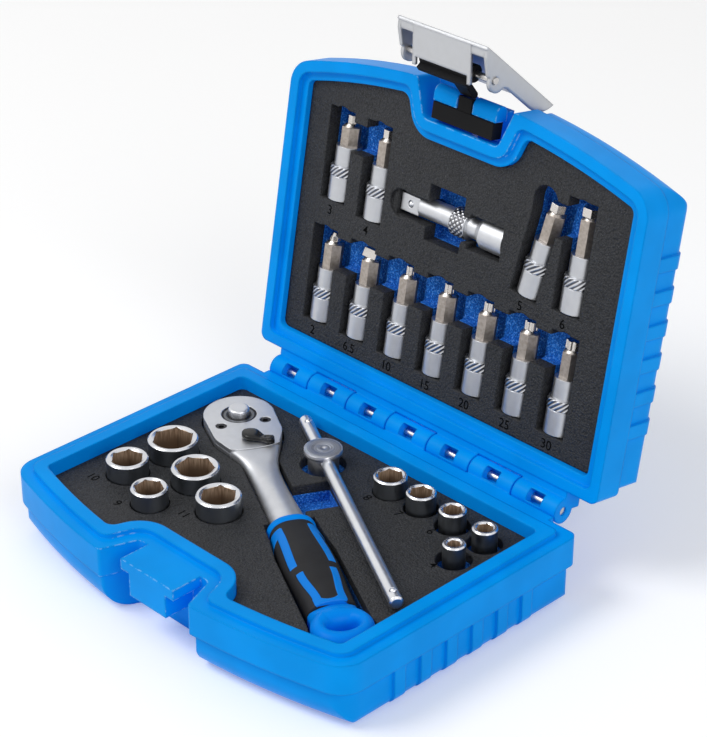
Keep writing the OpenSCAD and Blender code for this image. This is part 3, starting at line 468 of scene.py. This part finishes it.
# %% Bits
LOWER = [(-2.5 + (i - 3) * 19.05, 45.3, 0.0, 13.4) for i in range(7)]
BITS = {"hex3": (-58.4, -1.7, 0.0, 11.2), "hex4": (-39.9, 0.0, 0.0, 13.0),
        "hex5": (34.1, 2.3, 8.6, 14.0), "hex6": (53.0, 2.1, 0.0, 16.4),
        **dict(zip(["cross", "slot", "star10", "star15", "star20", "star25", "star30"], LOWER))}
HOLDER_L = 20.0
LYING = RIM + 9.8
TIP_L = 4.4


def bit_finish(name, at):
    """Brown shank and bright tip, by the distance along the bit in the shut case."""
    material, shader, place = begin(f"bit {name}", Metallic=1.0)
    x, y, z = place.parts()
    along = at[1] - HINGE_Y - ((y - HINGE_Y) * COS_OPEN - (z - HINGE_Z) * SIN_OPEN)
    end = HOLDER_L + at[3]
    tip = along.step(end - TIP_L, end - TIP_L + 1)
    cloud = place.noise(0.9, 3)
    skin = cloud.step(0.25, 0.75).mix((0.33, 0.29, 0.255), (0.46, 0.41, 0.37))
    feed(shader, Base_Color=tip.mix(skin, (0.62, 0.59, 0.56)),
         Roughness=0.42 - 0.16 * tip + 0.12 * (cloud - 0.5),
         Normal=bump(place, place.noise(5, 2), 0.015, soft_edges(place, 0.2)))
    return material


for name, at in BITS.items():
    dress(bit_finish(name, at), f"bit_{name}")
    dress(holder_satin, f"holder_{name}")
print(len(BITS), "bits dressed")

# %% [markdown]
# ## Knurled rings
#
# Each holder has a ring that was rolled between two toothed wheels, so that oily fingers
# can turn it. A knurl is two families of helical grooves. The height at a point is the
# lower of two triangle waves, one climbing to the left and one to the right, and what is
# left between them are small pyramids.

# %% Knurl
def triangle(x):
    """Triangle wave of period 1: 0 at whole numbers, 1 half way between."""
    return 1 - np.abs(2 * (x - np.floor(x)) - 1)


def knurl_grid(radius, depth, length, teeth, lean, back=None):
    """Radius + depth x a triangle wave that climbs lean teeth over the length.

    With back given, the height is the lower of two waves, the second climbing the other way.
    The first and last rows dip below the surface, so that the ring has no open edge.
    """
    t, a = np.meshgrid(unit(27, True), unit(teeth * 6), indexing="ij")
    h = triangle(teeth * a + lean * t)
    if back:
        h = np.minimum(h, triangle(teeth * a - back * t))
    r = radius + depth * h * ease(t, 0, 0.08) * ease(1 - t, 0, 0.08)
    r = r - 0.5 * ((t == 0) | (t == 1))
    turn = 2 * math.pi * a
    return r * np.cos(turn), r * np.sin(turn), t * length, h


def lying_tool(x, y, z, at):
    """Lays a tool drawn along Z into the lid: z runs to the front and leans by at[2]."""
    lean = math.radians(at[2])
    c, s = math.cos(lean), math.sin(lean)
    return lid_place(np.stack([at[0] + x * c + z * s, at[1] + x * s - z * c, LYING + y], axis=-1))


def knurl_finish():
    """Satin chrome painted dark in the grooves as painted shade, by the height kept on each point.
    """
    material, shader, place = begin("knurled chrome", Metallic=1.0)
    height = place.node("Attribute", attribute_name="height", out="Fac").step(0.1, 0.75)
    cloud = place.noise(0.6, 3)
    # Painted shade: dark in the grooves, light chrome on the ridges.
    feed(shader, Base_Color=height.mix((0.10, 0.10, 0.11), (0.60, 0.61, 0.64)),
         Roughness=0.3 + 0.1 * cloud)
    return material


KNURL_START = 8.85
EXTENSION_COLLAR = (-3.4, -11.3)

knurled = knurl_finish()
for name, at in BITS.items():
    x, y, z, h = knurl_grid(5.56, 0.42, length=3.9, teeth=17, lean=-2.2)
    grid_piece(f"knurl_{name}", lying_tool(x, y, z + KNURL_START, at), f"tool_{name}", knurled,
               ends=False, values={"height": h})

x, y, z, h = knurl_grid(5.02, 0.5, length=6.8, teeth=16, lean=3.2, back=3.2)
collar_at = lid_place(np.stack([EXTENSION_COLLAR[0] + z, EXTENSION_COLLAR[1] + x, LYING + y],
                               axis=-1))
grid_piece("knurl_extension", collar_at, "extension", knurled, ends=False,
           values={"height": h})

# %% [markdown]
# ## The ratchet's neck
#
# Behind the round head the forging narrows to a waist and grows again to the round shank
# that enters the handle. It is one smooth skin: at each distance along the tool a
# superellipse, whose half width and top and bottom heights ease from one value to the
# next. Its front edge follows the arc in which the cover plate ends.

# %% Neck
def section(angle, power):
    """Unit superellipse: (sign c |c|^power, sign s |s|^power) of cosine c and sine s."""
    c, s = np.cos(angle), np.sin(angle)
    return np.sign(c) * np.abs(c) ** power, np.sign(s) * np.abs(s) ** power


def along_profile(x, table):
    """Smooth curve through (x, value) pairs: a cubic with level-preserving slopes."""
    px, pv = np.array(table).T
    slope = np.gradient(pv, px)
    i = np.clip(np.searchsorted(px, x) - 1, 0, len(px) - 2)
    h = px[i + 1] - px[i]
    t = (x - px[i]) / h
    return ((2 * t ** 3 - 3 * t ** 2 + 1) * pv[i] + (t ** 3 - 2 * t ** 2 + t) * h * slope[i]
            + (3 * t ** 2 - 2 * t ** 3) * pv[i + 1] + (t ** 3 - t ** 2) * h * slope[i + 1])


NECK_W = [(18, 11.15), (22, 9.6), (26, 8.0), (30, 6.62), (34, 5.95), (40, 5.75), (48, 5.85),
          (56, 6.2), (64, 6.6), (71, 6.8)]
NECK_TOP = [(18, 0.0), (24, 0.0), (28, -0.2), (34, -1.0), (44, -1.2), (58, -0.5), (71, -0.1)]
NECK_LOW = [(18, -11.8), (24, -12.1), (30, -12.1), (36, -11.5), (48, -11.7), (60, -12.6),
            (71, -13.1)]
NECK_POWER = [(18, 0.32), (30, 0.36), (36, 0.7), (48, 0.95), (71, 1.0)]
PLATE_ARC, NECK_LOW_START, NECK_END = 24.62, 20.0, 71

t, a = np.meshgrid(unit(70, True), unit(96), indexing="ij")
c0, s0 = section(2 * math.pi * a, 0.6)
nose = np.sqrt(PLATE_ARC ** 2 - (8.6 * c0) ** 2)
start = np.where(s0 > 0, nose, NECK_LOW_START)
x = start + t * (NECK_END - start)
cs, sn = section(2 * math.pi * a, along_profile(x, NECK_POWER))
top, low = along_profile(x, NECK_TOP), along_profile(x, NECK_LOW)
grid = np.stack([x, along_profile(x, NECK_W) * cs, (top + low) / 2 + (top - low) / 2 * sn],
                axis=-1)
grid_piece("ratchet_neck", tool_place(grid, RATCHET), "ratchet", satin)

# %% [markdown]
# ## The handle
#
# The handle is moulded in two shots. A hard azure core carries a collar, a ring end and
# the raised lines that show between the panels; the black shot round it is a soft rubber.
# The grip is a superellipse that swells towards the palm. Which shot shows is a number on
# every point of the surface, 0 for rubber and 1 for the azure, and the same number sinks
# the rubber a little below the azure lines.

# %% Grip
GRIP_0, GRIP_1 = 72.4, 121.4
GRIP_W = [(72, 8.2), (78, 8.7), (86, 9.5), (94, 9.8), (102, 9.5), (110, 9.0), (122, 8.8)]
GRIP_H = [(72, 7.0), (80, 7.2), (92, 7.6), (104, 7.3), (114, 6.9), (122, 6.6)]
HANDLE_Z = -6.6
RUBBER_SINK = 0.22


def band(x, lo, hi, blur=0.25):
    """1 between lo and hi, 0 outside, with a soft edge."""
    return ease(x, lo - blur, lo + blur) * (1 - ease(x, hi - blur, hi + blur))


def grip_lines(x, arc):
    """Azure lines, by the distance along the handle and the arc from its top line, in mm.

    On each flank a wedge wraps in from the side behind the collar and turns into a line that
    runs back; after a gap a second line starts and runs in to the ring end.
    """
    side = np.abs(arc)
    fore_mid = 5.9 + 0.9 * ease(x, 80, 99)
    fore = band(side - fore_mid, -1.55, 1.45) * band(x, 76.0, 99.5)
    wedge = band(side, 4.7, 17) * band(x, 75.6, 79.6 + 0.4 * np.clip(side - 4.7, 0, 8))
    aft_mid = 5.7 - 1.7 * ease(x, 104, 119)
    aft = band(side - aft_mid, -1.4, 1.3) * band(x, 103, 123)
    end = ease(x - 119.6 + 0.17 * side ** 2, 0, 0.7) * (side < 5.4)
    return np.clip(np.maximum.reduce([fore, wedge, aft, end]), 0, 1)


t, a = np.meshgrid(unit(230, True), unit(220), indexing="ij")
x = GRIP_0 + (GRIP_1 - GRIP_0) * t
turn = 2 * math.pi * a
c, s = section(turn, 0.82)
w, h = along_profile(x, GRIP_W), along_profile(x, GRIP_H)
flat = np.stack([w * s, h * c], axis=-1)
arc = np.linalg.norm(np.diff(flat, axis=1, prepend=flat[:, :1]), axis=-1).cumsum(1)
arc = arc - arc[:, -1:] * (a > 0.5)
azure_mask = grip_lines(x, arc)
sink = RUBBER_SINK * (1 - azure_mask)
from_end = np.minimum(x - GRIP_0, GRIP_1 - x) / 0.8
rounded_end = 0.6 * (1 - np.sqrt(1 - np.clip(1 - from_end, 0, 1) ** 2))
scale = 1 - (sink + rounded_end) / h
grid = np.stack([x, w * s * scale, HANDLE_Z + h * c * scale], axis=-1)


def grip_finish():
    """Rubber and azure, by the number kept on each point."""
    material, shader, place = begin("two-shot grip", Specular_IOR_Level=0.15)
    mask = place.node("Attribute", attribute_name="azure", out="Fac").step(0.35, 0.65)
    fine = place.noise(3.5, 3)
    rubber = place.noise(0.15, 2).mix((0.015, 0.015, 0.016), (0.026, 0.026, 0.028))
    feed(shader, Base_Color=mask.mix(rubber, (0.0001, 0.215, 0.76)),
         Roughness=0.52 - 0.16 * mask + 0.06 * fine,
         Normal=bump(place, fine, 0.02))
    return material


grip = grid_piece("grip", tool_place(grid, RATCHET), "ratchet", grip_finish(),
                  values={"azure": azure_mask})
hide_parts("handle_grip")

# %% [markdown]
# The collar and the ring end are the same azure core. The ring is one closed loop: round
# the hanging hole runs a section with rounded corners, from the oblong hole out to a
# circle, which stretches into the neck where it meets the grip. The neck's height falls
# to the sides, so that it grows out of the grip as an oval.

# %% Collar and ring end
def rounded_box(half_w, half_h, radius, n=10):
    """Outline of a box with round corners: four quarter circles, joined by straights.

    half_w may be an array; the outline then has one more axis.
    """
    quarter = np.linspace(0, math.pi / 2, n)
    turn = np.concatenate([quarter + k * math.pi / 2 for k in range(4)])
    sx = np.repeat([1, -1, -1, 1], n)
    sz = np.repeat([1, 1, -1, -1], n)
    half_w = np.asarray(half_w, float)[..., None]
    radius = np.minimum(radius, half_w * 0.98)
    return (sx * (half_w - radius) + radius * np.cos(turn),
            sz * (half_h - radius) + radius * np.sin(turn))


COLLAR_0, COLLAR_L = 70.0, 3.2
t, a = np.meshgrid(unit(15, True), unit(120), indexing="ij")
c, s = section(2 * math.pi * a, 0.85)
x = COLLAR_0 + COLLAR_L * t
swell = 0.35 * np.sin(math.pi * t)
edge = 0.7 * (1 - np.sqrt(1 - np.clip(1 - np.minimum(t, 1 - t) * 6, 0, 1) ** 2))
grid = np.stack([x, (8.35 + swell - edge) * s, HANDLE_Z + (7.1 + swell - edge) * c], axis=-1)
grid_piece("collar", tool_place(grid, RATCHET), "ratchet", azure_handle)

RING_X, RING_R, RING_HALF_H = 133.2, 10.2, 6.7
theta = 2 * math.pi * unit(200)
ux, uy = np.cos(theta), np.sin(theta)
hole = 1 / ((np.abs(ux) / 2.8) ** 2.6 + (np.abs(uy) / 5.2) ** 2.6) ** (1 / 2.6)
neck = np.minimum(13.0 / np.maximum(-ux, 1e-3), 8.3 / np.maximum(np.abs(uy), 1e-3))
neck = np.where(ux < 0, np.minimum(neck, 15.5), 0)
outer = (RING_R ** 10 + neck ** 10) ** (1 / 10)
mid, half = (hole + outer) / 2, (outer - hole) / 2
r_off, z_off = rounded_box(half, RING_HALF_H, 4.2)
r = mid[:, None] + r_off
crown = 1 - 0.1 * ease(r, 7.5, 10.5)
oval = np.sqrt(np.clip(1 - (r * uy[:, None] / 9.4) ** 2, 0.02, 1))
crown = crown * (1 - ease(-r * ux[:, None], 5.0, 11.5) * (1 - 0.97 * oval))
grid = np.stack([RING_X + r * ux[:, None], r * uy[:, None], HANDLE_Z + z_off * crown], axis=-1)
grid = np.concatenate([grid, grid[:1]])
ring = grid_piece("handle_ring", tool_place(grid, RATCHET), "ratchet", azure_handle,
                  ends=False)
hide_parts("handle_core")

# %% [markdown]
# ## Turned caps
#
# The T-bar's sliding head and the quick-release button are turned on a lathe. A turned
# form is one profile of (radius, height) pairs carried round an axis. The head's top has a
# rounded rim, a flat land, and a shallow recess with a centre mark from the lathe.

# %% Head and button
def turned(name, profile, at, body, finish, centre=(0.0, 0.0), n=96):
    """Carries (radius, height) pairs round Z: r cos a, r sin a, z."""
    r, z = np.array(profile, float).T
    a = 2 * math.pi * unit(n)
    grid = np.stack([centre[0] + r[:, None] * np.cos(a), centre[1] + r[:, None] * np.sin(a),
                     np.broadcast_to(z[:, None], (len(r), n))], axis=-1)
    return grid_piece(name, tool_place(grid, at), body, finish)


CAP_ALONG = 25.8
CAP_X = T_BAR[0] + CAP_ALONG * math.cos(T_BAR[3])
CAP_Y = T_BAR[1] + CAP_ALONG * math.sin(T_BAR[3])


def turned_finish(name, cx, cy, light, dark):
    """Steel from the lathe: fine rings, by the distance from the axis at (cx, cy)."""
    material, shader, place = begin(name, Metallic=1.0)
    x, y, z = place.parts()
    away = ((x - cx) ** 2 + (y - cy) ** 2) ** 0.5
    rings = place.node("CombineXYZ", [away, 0.0, 0.0]).noise(2.6, 3, 0.7)
    feed(shader, Base_Color=rings.step(0.3, 0.7).mix(dark, light), Roughness=0.30 + 0.14 * rings,
         Normal=bump(place, rings, 0.03))
    return material


cap_steel = turned_finish("turned cap", CAP_X, CAP_Y, (0.62, 0.63, 0.66), (0.36, 0.37, 0.40))
button_steel = turned_finish("button steel", RATCHET[0], RATCHET[1], (0.70, 0.71, 0.74),
                             (0.52, 0.53, 0.56))
turned("t_bar_cap", [(5.6, 1.35), (6.45, 1.38), (6.75, 1.7), (6.82, 2.3), (6.78, 2.9), (6.5, 3.35),
                     (6.1, 3.55), (5.6, 3.6), (3.6, 3.56), (3.35, 3.5), (3.2, 3.42), (2.9, 3.4),
                     (2.5, 3.42), (2.2, 3.5), (1.9, 3.54), (0.9, 3.52), (0.5, 3.3), (0.02, 3.2)],
       T_BAR, "t_bar", cap_steel, centre=(CAP_ALONG, 0.0))
turned("button_cap", [(3.3, 1.9), (3.78, 1.95), (3.82, 2.1), (3.62, 2.5), (3.3, 2.72), (2.8, 2.78),
                      (1.5, 2.76), (0.02, 2.75)], RATCHET, "release_button", button_steel)

# %% [markdown]
# The gear shows through the cover plate round the button: a black journal, a grey land and
# a thin black ring at the button, painted shadow of the gap there in the journal's black,
# again found by the distance from the axis.

# %% Gear face
def gear_finish():
    """Black with a grey land between two radii round the drive's axis; the black next to
    the button is painted shadow of the gap there.
    """
    material, shader, place = begin("gear face", Metallic=1.0)
    x, y, z = place.parts()
    away = ((x - RATCHET[0]) ** 2 + (y - RATCHET[1]) ** 2) ** 0.5
    # Painted shadow: black next to the button, where the gap is; grey on the land.
    land = away.step(4.3, 4.7) * (1 - away.step(5.5, 5.7))
    rings = place.node("CombineXYZ", [away, 0.0, 0.0]).noise(3.0, 2)
    feed(shader, Base_Color=land.mix((0.03, 0.03, 0.033), (0.16, 0.165, 0.175)),
         Roughness=0.34 + 0.2 * rings, Normal=bump(place, land, 0.25, soft_edges(place, 0.25)))
    return material


dress(gear_finish(), "drive_gear")
print("gear face dressed")

# %% [markdown]
# ## Selector
#
# The thumb lever that turns the ratchet's direction is a small moulding: a round boss with
# an arm that thins behind it and swells again under the thumb. At each distance along the
# arm it is a boxy superellipse, and a shallow groove runs along the thumb's end.

# %% Selector
SELECTOR_X, ARM_TURN = 17.5, math.radians(47)
BOSS_R, ARM_END, FOOT_Z = 3.3, 9.35, 0.3
ARM_W = [(1.5, 2.9), (3.0, 2.25), (4.6, 1.75), (6.4, 1.9), (8.0, 2.05), (9.0, 1.9), (10.0, 1.9)]
ARM_TOP = [(-3.4, 2.5), (0, 2.75), (2.4, 2.6), (4.4, 2.05), (6.4, 2.45), (8.2, 2.75), (10, 2.5)]

t, a = np.meshgrid(unit(80, True), unit(56), indexing="ij")
u = -BOSS_R + 12.6 * (0.5 - 0.5 * np.cos(math.pi * t))
boss = np.sqrt(np.maximum(BOSS_R ** 2 - u ** 2, 1e-4))
arm = along_profile(np.maximum(u, 1.5), ARM_W)
half = np.where(u < 1.5, boss, np.maximum(arm, np.where(u < BOSS_R, boss, 0)))
half = half * np.sqrt(np.clip((ARM_END - u) / 1.5, 0.0004, 1))
c, s = section(2 * math.pi * a, 0.62)
top = along_profile(u, ARM_TOP)
end_drop = np.sqrt(np.clip(1 - np.clip(half / 1.2, 0, 1), 0, 1))
top = top - 0.9 * end_drop
v = half * c
groove = 0.28 * (np.abs(v) < 0.5) * (u > 5.6) * (u < 8.6) * (s > 0.5)
z = FOOT_Z + (top - FOOT_Z) * (0.5 + 0.5 * s) - groove
ca, sa = math.cos(ARM_TURN), math.sin(ARM_TURN)
grid = np.stack([SELECTOR_X + ca * u - sa * v, sa * u + ca * v, z], axis=-1)
gloss_black = plastic("selector black", (0.012, 0.012, 0.013), 0.2, edge=0.2)
gloss_black.node_tree.nodes["Principled BSDF"].inputs["Specular IOR Level"].default_value = 0.3
thumb = grid_piece("selector", tool_place(grid, RATCHET), "selector", gloss_black)
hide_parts("selector_lever")

# %% [markdown]
# ## Size marks
#
# Plain numbers stand in the foam beside each tool, so that it finds its place again. They
# are drawn in a plain font and laid on the foam as a flat mesh, a shade darker and duller
# than the pebbled skin round them.

# %% Numbers
def mark_finish():
    """Foam that a hot stamp has closed: nearly black, without gloss."""
    material, shader, place = begin("pressed mark", Specular_IOR_Level=0.05)
    feed(shader, Base_Color=(0.0012, 0.0012, 0.0014, 1), Roughness=0.7 + 0.2 * place.noise(3, 2))
    return material


pressed = mark_finish()
MARK_SIZE, MARK_LIFT = 4.8, 0.06


def mark(name, words, body, put):
    """Words as a flat mesh, its points moved by the function put."""
    curve = bpy.data.curves.new(name, "FONT")
    curve.body, curve.size = words, MARK_SIZE
    curve.align_x, curve.align_y = "CENTER", "CENTER"
    curve.offset = 0.02
    holder = bpy.data.objects.new(name + "_text", curve)
    bpy.context.scene.collection.objects.link(holder)
    flat = bpy.data.meshes.new_from_object(holder)
    bpy.data.objects.remove(holder)
    points = np.empty(len(flat.vertices) * 3)
    flat.vertices.foreach_get("co", points)
    faces = [list(p.vertices) for p in flat.polygons]
    points = points.reshape(-1, 3)
    return mesh_piece(name, put(points), faces, body, pressed, smooth=False)


def on_base(x, y):
    """Moves letters to (x, y) on the base's foam."""
    return lambda p: np.stack([x + p[:, 0], y + p[:, 1],
                               p[:, 2] * 0 + BASE_FOAM + MARK_LIFT], axis=-1)


def on_lid(x, y):
    """Letters stand upright in the open lid, so they are drawn mirrored in the shut one."""
    return lambda p: lid_place(np.stack([x + p[:, 0], y - p[:, 1],
                                         p[:, 2] * 0 + LID_FOAM - MARK_LIFT], axis=-1))


BASE_MARKS = {13: (-64.3, -8.6), 12: (-44.9, -14.9), 11: (-22.9, -21.4), 10: (-62.7, -28.4),
              9: (-43.8, -33.1), 8: (13.2, 29.9), 7: (27.6, 30.3), 6: (42.8, 30.3),
              5: (69.3, 34.6), 4: (57.2, 16.5)}
for size, (x, y) in BASE_MARKS.items():
    mark(f"mark_{size}", str(size), "base", on_base(x, y))
LID_MARKS = {"hex3": "3", "hex4": "4", "hex5": "5", "hex6": "6", "cross": "2", "slot": "6.5",
             "star10": "10", "star15": "15", "star20": "20", "star25": "25", "star30": "30"}
for name, words in LID_MARKS.items():
    at = BITS[name]
    mark(f"mark_{name}", words, "lid", on_lid(at[0] - 0.5, at[1] + 4.0))
print(len(BASE_MARKS) + len(LID_MARKS), "marks")

# %% [markdown]
# ## Stage
#
# The set stands on a pale floor, which looks a little brighter to the camera than it
# shines on the set, so that it reaches white without washing out the shadows.

# %% Floor
def in_view(wire):
    """1 for rays from the camera and in gloss and glass, 0 for light that falls on things."""
    seen, glossy, through = [wire.node("LightPath", out=f"Is {kind} Ray")
                             for kind in ("Camera", "Glossy", "Transmission")]
    return wire.math("MAXIMUM", wire.math("MAXIMUM", seen, glossy), through)


FLOOR = 6
floor_mesh = bpy.data.meshes.new("floor")
floor_mesh.from_pydata([(-FLOOR, -FLOOR, 0), (FLOOR, -FLOOR, 0), (FLOOR, FLOOR, 0),
                        (-FLOOR, FLOOR, 0)], [], [(0, 1, 2, 3)])
floor = bpy.data.objects.new("floor", floor_mesh)
bpy.context.scene.collection.objects.link(floor)
pale, shader, place = begin("pale floor", Roughness=0.8, Specular_IOR_Level=0.1,
                            Emission_Strength=1.0)
shader.inputs["Base Color"].default_value = (0.92, 0.92, 0.92, 1)
feed(shader, Emission_Color=in_view(place).mix((0, 0, 0), (0.2, 0.2, 0.2)))
floor_mesh.materials.append(pale)
print("floor", 2 * FLOOR, "m wide")

# %% [markdown]
# The light is soft: one broad lamp high on the left in front, a weaker one on the right,
# and an even pale world that the metal can mirror. The world, too, is brighter to look at
# than it is as a light.

# %% Lamps and world
def aim(holder, place, right, up, back):
    """Sets an object's place and its three axes."""
    rows = [(right[i], up[i], back[i], place[i]) for i in range(3)] + [(0, 0, 0, 1)]
    holder.matrix_world = Matrix(rows)


def soft_lamp(name, place, watts, size, target=(0, 0.03, 0.06)):
    """A round soft lamp that faces the object."""
    light = bpy.data.lights.new(name, "AREA")
    light.energy, light.size, light.shape = watts, size, "DISK"
    holder = bpy.data.objects.new(name, light)
    bpy.context.scene.collection.objects.link(holder)
    back = np.array(place, float) - target
    back /= np.linalg.norm(back)
    right = np.cross((0, 0, 1), back)
    right /= np.linalg.norm(right)
    aim(holder, place, right, np.cross(back, right), back)


soft_lamp("key", (-0.75, -1.1, 1.7), 20, 1.1)
soft_lamp("fill", (1.6, -0.5, 1.1), 11, 1.2)

world = bpy.data.worlds.new("studio")
world.use_nodes = True
bpy.context.scene.world = world
sky = world.node_tree.nodes["Background"]
sky.inputs["Color"].default_value = (1, 1, 1, 1)
feed(sky, Strength=0.45 + 0.55 * in_view(Wire(world.node_tree, sky.outputs[0])))
bpy.context.scene.view_settings.view_transform = "Standard"
print("two lamps and a pale world")

# %% [markdown]
# ## Camera
#
# A long lens from the front right corner, about thirty degrees above the table.

# %% Camera
lens = bpy.data.cameras.new("camera")
lens.lens, lens.sensor_width, lens.clip_start = 115.63, 36.0, 0.01
camera = bpy.data.objects.new("camera", lens)
bpy.context.scene.collection.objects.link(camera)
aim(camera, (0.49687, -0.45040, 0.45596), (0.69976, 0.71438, 0.0),
    (-0.34987, 0.34271, 0.87186), (0.62284, -0.61009, 0.48975))
bpy.context.scene.camera = camera
print("camera", lens.lens, "mm")

# %% [markdown]
# ## End
#
# The last cell prints a closing line.

# %% End
print("set dressed")
